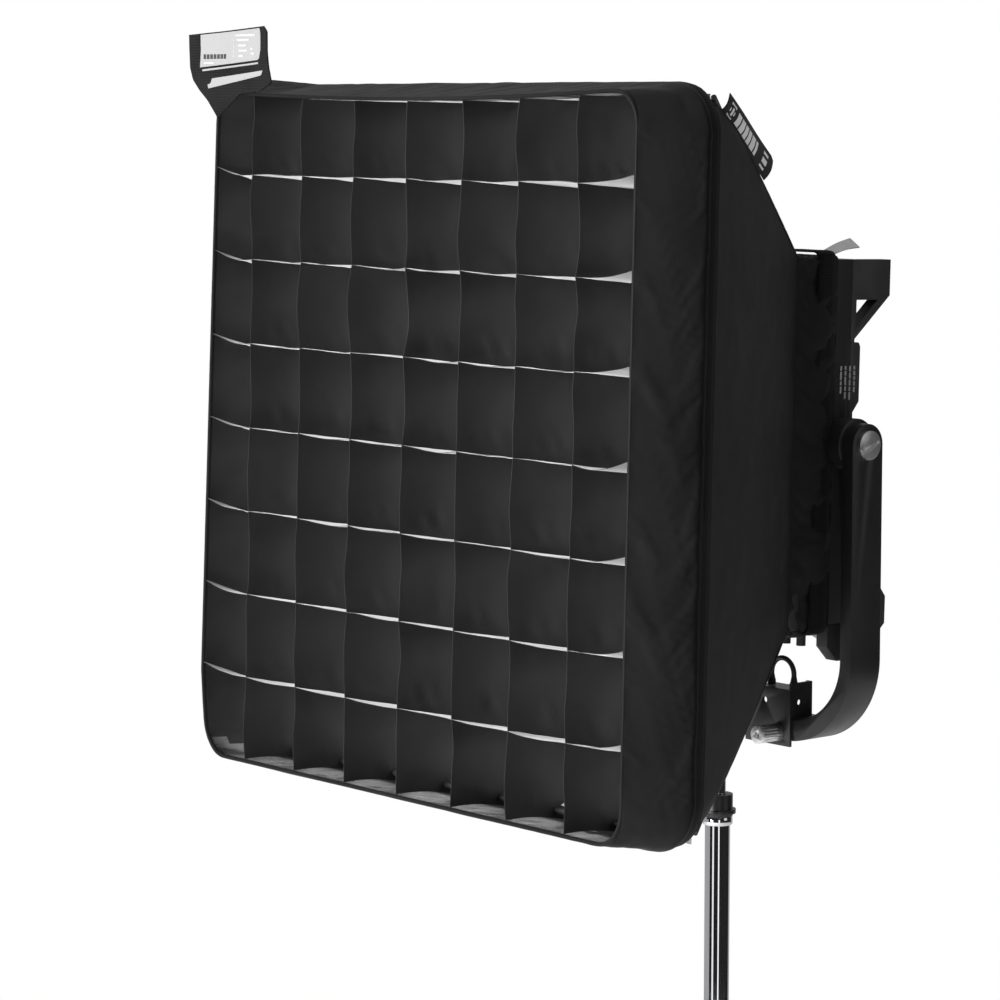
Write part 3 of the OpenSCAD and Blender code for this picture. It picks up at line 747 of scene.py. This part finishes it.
def make_rim():
    """Hem that wraps the front edge of the bag, and the sprung rod inside."""
    profile = [(0.2, 12), (0.8, 7), (0.6, 3), (-0.4, 0), (-2, -2), (-4, -2.4), (-6, -2), (-6.4, 0), (-5, 2), (-3, 3)]

    def shape(x, y, z, side, v, run):
        puff = 0.6 * wobble(x, y, z, 16.0, 2.0)
        return x, y + puff, z + 0.5 * puff - rim_drop(x, z)

    sections = [(RIM + dx, RIM + dx, max(3, RIM_ROUND + dx), RIM_Y + dy) for dx, dy in profile]
    hem = ring_loft("rim_hem_cloth", sections, 90, 10, closed=True, shape=shape)
    finish_piece(hem, "bag_cloth", replaces=("rim_hem",))
    tube_ring("frame_rod", 318.0, 316.0, 40.0, -340.0, 3.0, "rod", ("front_frame",))


def make_diffuser():
    """Diffusion cloth held at its edges, with slack that hangs in soft folds."""
    across, half, low, height = 46, 307, -325, 642
    points = []
    for z in spaced(across, low, low + height):
        for x in spaced(across, -half, half):
            hold = (1 - (x / half) ** 2) * max(0.0, 1 - (z / 320) ** 2)
            y = -320.5 + 3.0 * hold + 1.2 * hold * wobble(x, 0, z, 90.0, 4.0)
            points.append((x, y, z - 0.8 * top_sag(x, z)))
    sheet = mesh_object("diffuser_cloth", points, grid_faces(across, across, False))
    thicken(sheet, 0.6)
    finish_piece(sheet, "diffusion", replaces=("front_diffuser",))


def make_neck():
    """Elasticated sleeve that grips the lamp: gathered cloth between two held edges."""
    rows = 16
    sections = []
    for t in spaced(rows):
        half_x = NECK_W + 1.2 * math.sin(math.pi * t) - 0.8 * t
        half_z = NECK_H - 2.6 * t + 1.2 * math.sin(math.pi * t)
        sections.append((half_x, half_z, 6 - 2 * t, NECK_Y + (NECK_BACK - NECK_Y) * t))

    def shape(x, y, z, side, v, run):
        out = 0.9 * math.sin(math.pi * v) * wobble(run + 0.4 * y, y * 0.3, 0, 11.0, 7.0)
        return pushed(x, y, z, NECK_W, NECK_H, out)

    neck = ring_loft("neck_cloth", sections, 70, 6, shape=shape)
    simulate(neck, rows, slack=0.07, steps=18, bend=0.15, gravity=0.3, cap=4.5)
    soften(neck, 1)
    thicken(neck, 1.1)
    finish_piece(neck, "bag_cloth", replaces=("neck_sleeve",))


def soften(piece, levels):
    """Subdivides a piece smoothly."""
    sub = piece.modifiers.new("smooth", "SUBSURF")
    sub.levels = levels
    sub.render_levels = levels
    return apply_modifiers(piece)


def make_strap():
    """Webbing band round the neck."""
    rows = [(-41, 0.3), (-40, 1.3), (-34, 1.8), (-25, 1.8), (-19, 1.3), (-18, 0.3)]
    sections = [(NECK_W + 1.2 + out, NECK_H + 0.6 + out, 7, y) for y, out in rows]

    def shape(x, y, z, side, v, run):
        return pushed(x, y, z, NECK_W, NECK_H, 0.6 * wobble(x, 0, z, 30.0, 9.0))

    strap = ring_loft("neck_strap_web", sections, 40, 6, shape=shape)
    thicken(strap, 1.0)
    finish_piece(strap, "webbing", replaces=("neck_strap",))


def strip_piece(name, corners, thickness, bend=0.0, columns=10, rows=14):
    """A small flat strip between four corners (two at each end), bowed across its middle."""
    a, b, c, d = (Vector(p) for p in corners)
    normal = (b - a).cross(d - a).normalized()
    points = []
    for t in spaced(rows):
        for s in spaced(columns):
            p = (a * (1 - s) + b * s) * (1 - t) + (d * (1 - s) + c * s) * t
            lift = bend * math.sin(math.pi * t) + 0.25 * wobble(p.x, p.y, p.z, 14.0, 6.0)
            points.append(p + normal * lift)
    piece = mesh_object(name, points, grid_faces(rows, columns, False))
    thicken(piece, thickness)
    return piece


def make_tabs():
    """Frosted pull tabs above and below the neck; each twists so that its tip stands on edge."""
    for name, sign, x, reach in (("upper", 1, 149, 14), ("lower", -1, 136.2, 19)):
        z = (NECK_H - 0.5) * sign
        near, far = z + 0.4 * reach * sign, z + reach * sign
        corners = [(x - 10, -11, z), (x + 10, -11, z), (x + 7, 25, near), (x - 5, 24, far)]
        tab = strip_piece(f"pull_tab_{name}", corners, 1.0, 1.2 * sign)
        finish_piece(tab, "clear_tab")
    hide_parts("pull_tabs")


def at_length(line, t):
    """The point a share t of the way along a line of (x, z) points."""
    lengths = [math.dist(a, b) for a, b in zip(line, line[1:])]
    left = t * sum(lengths)
    for a, b, length in zip(line, line[1:], lengths):
        if left <= length:
            k = left / length
            return a[0] + (b[0] - a[0]) * k, a[1] + (b[1] - a[1]) * k
        left -= length
    return line[-1]


def sheet_between(name, left, right, rows, columns, place_point, thickness, slot, replaces=()):
    """Cloth stretched between two lines of (u, v) points; place_point turns (u, v) into a point."""
    points = []
    for t in spaced(rows):
        (u0, v0), (u1, v1) = at_length(left, t), at_length(right, t)
        for s in spaced(columns):
            points.append(place_point(u0 + (u1 - u0) * s, v0 + (v1 - v0) * s))
    piece = mesh_object(name, points, grid_faces(rows, columns, False))
    thicken(piece, thickness)
    return finish_piece(piece, slot, replaces=replaces, material=MATERIALS[slot])


def box_between(name, low_u, high_u, low_v, high_v, place_point, slot, thickness=0.25):
    """A printed bar: a thin upright rectangle of (u, v) points."""
    left, right = [(low_u, high_v), (low_u, low_v)], [(high_u, high_v), (high_u, low_v)]
    return sheet_between(name, left, right, 3, 5, place_point, thickness, slot)


def make_bag_label():
    """Woven label in the top right seam: a dark patch with plain pale bars in place of its name."""
    base_front, base_back = Vector((302, -303, 303)), Vector((237, -185, 245))
    tip_front, tip_back = Vector((314, -304, 318)), Vector((252, -189, 264))
    length, width = 147.0, 19.5
    facing = (base_back - base_front).cross(tip_front - base_front).normalized()
    if facing.x < 0:
        facing.negate()

    def on_label(lift):
        def place_point(u, v):
            s, t = u / length, v / width
            p = (base_front * (1 - s) + base_back * s) * (1 - t) + (tip_front * (1 - s) + tip_back * s) * t
            bow = 2.4 * math.sin(math.pi * t) + 1.6 * math.sin(2.2 * math.pi * s) * t
            return p + facing * (bow + lift)
        return place_point

    left = [(0, width), (0, 0)]
    right = [(length - 8, width), (length - 1.5, width - 1.5), (length, width - 8), (length, 0)]
    label = sheet_between("bag_label_patch", left, right, 18, 40, on_label(0), 1.0, "label_black", ("bag_label",))
    bars = [(9, 11, 3, 16.5), (20, 22, 3, 16.5), (11, 20, 3, 4.4), (11, 20, 15.1, 16.5), (14, 18, 6, 13.5)]
    low, high = 4.5, 15.5
    for start, end in ((30, 40), (43, 54), (57, 66), (69, 78), (81, 92), (95, 101)):
        bars.append((start, end, low, high))
    bars.append((119, 132, 3.5, 16.5))
    for index, (start, end, bottom, top) in enumerate(bars):
        for side, lift in (("out", 0.65), ("in", -0.65)):
            box_between(f"label_bar_{side}_{index + 1}", start, end, bottom, top, on_label(lift), "label_print", 0.2)


# ---------------------------------------------------------------- grid
def floor_droop(z, front):
    """The grid's lower wall hangs, and flares outward towards its back edge."""
    return -(2.5 * front + 11.0 * (1 - front)) * share(-z, 280, 318)


def make_strips():
    """The upright and level strips: thin cloth that bows between its crossings."""
    rng = np.random.default_rng(5)
    lines_x = [(i - CELLS / 2) * PITCH_X for i in range(1, CELLS)]
    lines_z = [(i - CELLS / 2) * PITCH_Z for i in range(1, CELLS)]
    lean = rng.normal(0, 1.0, (len(lines_x), CELLS, 2))
    lift = rng.normal(0, 1.0, (len(lines_z), CELLS, 2))
    deep, steps = 16, 14

    def bow(first, second, t):
        """Sideways bulge in one cell, nothing at its ends."""
        return first * math.sin(math.pi * t) + 0.5 * second * math.sin(2 * math.pi * t)

    def walk(edges):
        """Every step along a strip as (cell, share of the cell, position)."""
        for cell in range(CELLS):
            for k in range(steps + (cell == CELLS - 1)):
                t = k / steps
                yield cell, t, edges[cell] + (edges[cell + 1] - edges[cell]) * t

    def depths():
        for depth in spaced(deep):
            yield 1 - depth, GRID_Y + (GRID_BACK - GRID_Y) * depth

    uprights, levels = [], []
    for i, x0 in enumerate(lines_x):
        points = []
        for cell, t, z in walk([-GRID_H + 1] + lines_z + [GRID_H - 1]):
            side = bow(2.6 * lean[i, cell, 0], 1.6 * lean[i, cell, 1], t)
            pleat = math.exp(-((t - 0.13) / 0.12) ** 2) + 0.5 * math.exp(-((t - 0.93) / 0.07) ** 2)
            for front, y in depths():
                fold = 2.2 * pleat * wobble(0.8 * y + 0.5 * z, z * 0.25, x0, 9.0, 3.0) * (1 - front ** 3)
                soft = 1.2 * math.sin(math.pi * t) * wobble(y * 0.6, z, x0, 30.0, 6.0)
                dx = side * (0.3 + 0.7 * front) + fold + soft
                scallop = 14.0 * front * (1 - front) * math.exp(-(z + GRID_H) / 9.0)
                dz = scallop - top_sag(x0, z) + floor_droop(z, front)
                points.append((x0 + dx, y + 1.0 * front * wobble(x0, 9, z, 40.0), z + dz))
        uprights.append(mesh_object(f"grid_upright_{i + 1}", points, grid_faces(len(points) // deep, deep, False)))
    for j, z0 in enumerate(lines_z):
        points = []
        for cell, t, x in walk([-GRID_W] + lines_x + [GRID_W]):
            droop = -1.2 * math.sin(math.pi * t) + bow(0.8 * lift[j, cell, 0], 0.6 * lift[j, cell, 1], t)
            if cell == 0:
                droop += 7.0 * (1 - t) ** 2
            if cell == CELLS - 1:
                droop += 8.0 * t ** 2
            tip = 5.5 + 9.0 * ((240 - z0) / 480) ** 1.2 + (8.0 * (1 - t) if cell == 0 else 0.0)
            for front, y in depths():
                dz = droop * (0.2 + 0.8 * front) - tip * (1 - front) + 0.5 * wobble(x, y, z0, 22.0, 2.0)
                lean = left_lean(x, z0) * front
                points.append((x + lean, y + 0.8 * front * wobble(x, 3, z0, 40.0), z0 + dz))
        levels.append(mesh_object(f"grid_level_{j + 1}", points, grid_faces(len(points) // deep, deep, False)))
    for group, node, length in ((uprights, "grid_verticals", 2 * GRID_H), (levels, "grid_horizontals", 2 * GRID_W)):
        for index, strip in enumerate(group):
            thicken(strip, 0.4)
            # the level strips take the lit copy of the grid cloth, a painted sheen where their tops catch the light
            material = MATERIALS["lit_level_cloth"] if node == "grid_horizontals" else None
            finish_piece(strip, "grid_cloth", replaces=(node,) if index == 0 else (), material=material)


def make_border():
    """Inner wall of the grid, gathered where the strips are sewn to it."""
    sections = [(GRID_W, GRID_H, GRID_ROUND, y) for y in spaced(14, GRID_BACK, GRID_Y)]

    def shape(x, y, z, side, v, run):
        out = 1.8 * math.sin(math.pi * min(1, v * 1.05)) * (0.4 + wobble(run, y * 0.35, 0, 16.0, 8.0)) + 0.4
        x, y, z = pushed(x, y, z, GRID_W, GRID_H, out)
        return x + left_lean(x, z) * v, y, z - top_sag(x, z) + floor_droop(z, v)

    border = ring_loft("grid_border_cloth", sections, 100, 8, shape=shape)
    thicken(border, 0.8, 1.0)
    finish_piece(border, "grid_cloth", replaces=("grid_border",))
    # its lowest wall is seen from above: its upward faces get a slightly lighter, shinier copy of the cloth, a
    # painted sheen like the level strips'
    border.data.materials.append(MATERIALS["floor_sheen_cloth"])
    floor_z = (HEAD @ Vector((0, GRID_Y, 12 - GRID_H))).z
    for face in border.data.polygons:
        if face.center.z < floor_z and face.normal.z > 0.6:
            face.material_index = 1


def make_skirt():
    """Outer skirt from the grid's front edge back over the rim, with spare cloth that buckles."""
    rows, run_back = 20, 57.0
    sections = []
    for t in spaced(rows):
        reach = min(1.0, t * 1.15)
        curl = 4.0 * max(0.0, (t - 0.86) / 0.14) ** 2
        half_x = GRID_W + 1.6 + (RIM + 2.5 - GRID_W) * reach + 3.0 * math.sin(math.pi * reach) - curl
        half_z = GRID_H + 1.6 + (RIM - 1.0 - GRID_H) * reach - 0.5 * curl
        radius = GRID_ROUND + 4 + (RIM_ROUND - GRID_ROUND - 4) * t
        sections.append((half_x, half_z, radius, GRID_Y - 0.8 + run_back * t))

    def shape(x, y, z, side, v, run):
        slant = run + 0.55 * (y - GRID_Y)
        back = math.sin(math.pi * min(1.0, max(0.0, v * 1.05)) ** 1.7)
        pucker = 1.5 * wobble(slant, 0, y * 0.10, 9.0, 12.0) + 0.5 * wobble(slant, 4, y * 0.2, 7.0, 2.0)
        soft = 1.2 * math.sin(math.pi * v) * wobble(run, y, 0, 60.0, 3.0)
        x, y, z = pushed(x, y, z, RIM, RIM, back * pucker + soft)
        front = max(0.0, 1 - v * 1.6)
        rim = 1 - front
        drop = front * (top_sag(x, z) - floor_droop(z, 1.0)) + rim * rim_drop(x, z)
        return x + left_lean(x, z) * front, y, z - drop

    skirt = ring_loft("grid_skirt_cloth", sections, 230, 10, shape=shape)
    simulate(skirt, rows, slack=0.012, steps=20, bend=0.8, gravity=0.5, cap=0.7)
    soften(skirt, 1)
    thicken(skirt, 0.8)
    # the skirt takes the darker, shaded copy of the grid cloth: painted shade
    finish_piece(skirt, "grid_cloth", replaces=("grid_skirt",), material=MATERIALS["shaded_grid_cloth"])


def make_grid_hem():
    """Narrow folded edge round the front of the grid."""
    profile = [(-0.8, 3.0), (-1.2, 0.6), (-0.4, -1.0), (1.0, -1.4), (2.2, -0.6), (2.6, 1.2), (2.2, 3.4), (0.6, 3.6)]

    def shape(x, y, z, side, v, run):
        puff = 0.5 * wobble(run, 0, 0, 13.0, 4.0) + 0.3 * wobble(run, 5, 0, 5.0, 4.0)
        return x + left_lean(x, z), y - 0.4 * abs(puff), z + 0.4 * puff - top_sag(x, z) + floor_droop(z, 1.0)

    sections = [(GRID_W + 0.4 + dx, GRID_H + 0.4 + dx, GRID_ROUND + dx, GRID_Y + dy) for dx, dy in profile]
    hem = ring_loft("grid_hem_cloth", sections, 150, 8, closed=True, shape=shape)
    # the hem takes the same darker, shaded copy of the grid cloth: painted shade
    finish_piece(hem, "grid_cloth", replaces=("grid_hem",), material=MATERIALS["shaded_grid_cloth"])


def make_flap():
    """Corner flap with two plain care labels: printed bars stand for the small print."""
    left = [(-327.6, 372.6), (-327, 341), (-322.4, 329.6), (-310.5, 318.8), (-298.5, 310), (-288, 300),
            (-281.6, 293.6)]
    right = [(-208, 379), (-202, 374), (-202.6, 355.5), (-200.7, 340), (-196.6, 326), (-215, 318), (-246, 316),
             (-264, 304), (-281.6, 293.6)]

    def on_flap(lift):
        def place_point(x, z):
            high = max(0.0, (z - 325) / 50)
            s = (x + 327) / 125
            curl = 3.4 * math.sin(math.pi * s) * high - 2.0 * high + 0.7 * wobble(x, 0, z, 24.0, 5.0)
            return x, -404.5 + curl - lift, z
        return place_point

    flap = sheet_between("grid_flap_cloth", left, right, 36, 30, on_flap(0), 1.4, "webbing", ("grid_flap",))
    main_left = [(-309.2, 372.3), (-308.4, 358), (-310, 341.3)]
    main_right = [(-214.6, 377.2), (-213, 374), (-212.6, 356.3), (-214.5, 349), (-217, 347.5)]
    sheet_between("care_label_main", main_left, main_right, 12, 20, on_flap(1.1), 0.4, "label_white",
                  ("care_labels",))
    slip_left = [(-290, 330.7), (-292, 326), (-297, 325), (-296, 321.2)]
    slip_right = [(-209.4, 337.7), (-211, 334.5), (-213, 333), (-214, 332.8)]
    sheet_between("care_label_slip", slip_left, slip_right, 8, 24, on_flap(1.1), 0.4, "label_white")
    sheet_between("care_label_edge", [(-306, 339.4), (-306, 337.6)], [(-216, 345.4), (-216, 343.8)], 3, 20,
                  on_flap(1.1), 0.4, "label_white")
    lines = [(-254, -222, 370), (-252, -231, 365.6), (-250, -236, 360.4), (-249, -234, 355.6), (-249, -241, 350.6)]
    for index, (start, end, z) in enumerate(lines):
        box_between(f"care_text_{index + 1}", start, end, z, z + 1.9, on_flap(1.45), "print")
        box_between(f"care_mark_{index + 1}", -257.5, -256, z, z + 1.7, on_flap(1.45), "print")
    for index in range(7):
        start = -304 + 5.2 * index
        box_between(f"care_name_{index + 1}", start, start + 3.8, 349.2, 353.6, on_flap(1.45), "print_dark")
    box_between("care_note_1", -304, -288, 344.6, 346.2, on_flap(1.45), "print")
    box_between("care_note_2", -228, -222, 352.5, 354.5, on_flap(1.45), "print")
    box_between("care_note_3", -229, -225, 357, 359, on_flap(1.45), "print")


# ---------------------------------------------------------------- hard parts
def softened(node, width):
    """A copy of a CAD node with its sharp edges rounded, standing for the node."""
    source = nodes[node]
    mesh = source.data.copy()
    with edited(mesh) as shape:
        bmesh.ops.remove_doubles(shape, verts=shape.verts, dist=1e-6)
        bmesh.ops.dissolve_limit(shape, angle_limit=math.radians(1.0), verts=shape.verts, edges=shape.edges)
    piece = link_mesh(f"{node}_shell", mesh)
    bevel = piece.modifiers.new("edges", "BEVEL")
    bevel.width = width * MM
    bevel.segments = 2
    bevel.limit_method = "ANGLE"
    bevel.angle_limit = math.radians(35)
    bevel.use_clamp_overlap = True
    apply_modifiers(piece)
    smooth_by_angle(piece, 45)
    finish_piece(piece, NODE_SLOT[node], source["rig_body"], (node,))


def make_shells():
    """Bevels, by width in millimetres, on the hard parts whose edges catch the light."""
    widths = {
        "yoke": 1.6, "upper_handle": 2.0, "lower_handle": 2.0, "side_pods": 2.0, "lamp_housing": 1.2,
        "lamp_bezel": 1.0, "control_box": 1.6, "angle_plate": 0.5, "tilt_knob": 1.4, "stud_receiver": 0.8,
        "upper_collar": 0.7, "thumb_screw": 0.3, "pivot_bolts": 0.35, "pivot_bosses": 0.8,
    }
    for node, width in widths.items():
        softened(node, width)


def paint_nodes():
    """Every CAD node that still shows gets the material of its slot."""
    for name, node in nodes.items():
        node.data.materials.clear()
        node.data.materials.append(MATERIALS[NODE_SLOT[name]])


def make_marking_plate():
    """Plain bars on the side pod, where a real lamp has its rating plate."""
    x = 162.35
    rng = random.Random(8)
    index = 0
    for column in range(4):
        y = -3.0 + 6.0 * column
        z = 72.0
        while z > 46.0:
            length = 3.0 + 5.0 * rng.random()
            index += 1
            corners = [(x, y + 2.2, z), (x, y, z), (x, y, z - length), (x, y + 2.2, z - length)]
            bar = strip_piece(f"plate_bar_{index}", corners, 0.15, 0.0, 3, 4)
            finish_piece(bar, "print")
            z -= length + 1.2


def make_feet():
    """Rubber boots over the three feet of the stand."""
    reach = -frame["record"]["mounts"][1]["pos_m"][1]
    profile = [(0.0, 0.3), (14.0, 0.3), (16.6, 1.2), (17.6, 3.0), (17.6, 14.0), (17.0, 17.5), (16.7, 18.0)]
    for body, angle in (("base", -90), ("leg_left", 150), ("leg_right", 30)):
        centre = Matrix.Rotation(math.radians(angle), 4, "Z") @ Vector((reach / MM, 0, 0))
        boot = turned(f"foot_boot_{body}", profile, 40, centre)
        thicken(boot, 0.4, -1.0)
        finish_piece(boot, "rubber", body)


def make_collar_ring():
    """Bright ring where the column leaves its collar."""
    ring = turned("collar_ring", [(14.2, 859.6), (14.8, 860.2), (14.8, 867.6), (14.2, 868.2)], 48)
    thicken(ring, 0.4, -1.0)
    finish_piece(ring, "chrome", COLLAR_BODY)


def make_lead():
    """Short patch lead that loops between its two sockets on the angle plate."""
    centre_x, y, foot, rise, span, radius = 99.0, -10.0, -238.6, 12.0, 15.0, 2.5
    path = []
    for k in range(6):
        path.append((centre_x - span, y, foot + rise * k / 6))
    for k in range(17):
        a = math.pi - math.pi * k / 16
        path.append((centre_x + span * math.cos(a), y, foot + rise + span * math.sin(a)))
    for k in range(1, 7):
        path.append((centre_x + span, y, foot + rise - rise * k / 6))
    curve = bpy.data.curves.new("patch_lead_cord", "CURVE")
    curve.dimensions = "3D"
    curve.bevel_depth = radius * MM
    curve.bevel_resolution = 5
    curve.use_fill_caps = True
    spline = curve.splines.new("POLY")
    spline.points.add(len(path) - 1)
    for point, co in zip(spline.points, path):
        point.co = (*(YOKE @ Vector(co)), 1)
    cord = bpy.data.objects.new("patch_lead_cord", curve)
    bpy.context.scene.collection.objects.link(cord)
    curve.materials.append(MATERIALS["lead"])
    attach(cord, "yoke")
    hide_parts("patch_lead")
    plug = [(0.0, 0.0), (3.8, 0.0), (4.0, 0.6), (4.0, 4.6), (3.5, 5.2), (3.2, 7.0), (2.6, 10.0), (2.55, 10.4)]
    for index, x in enumerate((centre_x - span, centre_x + span)):
        end = turned(f"lead_end_{index + 1}", plug, 24, (x, y, foot), YOKE)
        finish_piece(end, "lead", "yoke")
    YOKE @ Vector(path[0])


# ---------------------------------------------------------------- build
COLLAR_BODY = nodes["upper_collar"]["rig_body"]
NODE_SLOT = {s["node"]: s["material_slot"] for s in frame["record"]["subparts"]}
MATERIALS = make_materials()

make_studio()
make_lead()
paint_nodes()
make_shells()
make_bag()
make_lining()
make_seams()
make_rim()
make_diffuser()
make_neck()
make_strap()
make_tabs()
make_bag_label()
make_border()
make_strips()
make_skirt()
make_grid_hem()
make_flap()
make_marking_plate()
make_feet()
make_collar_ring()
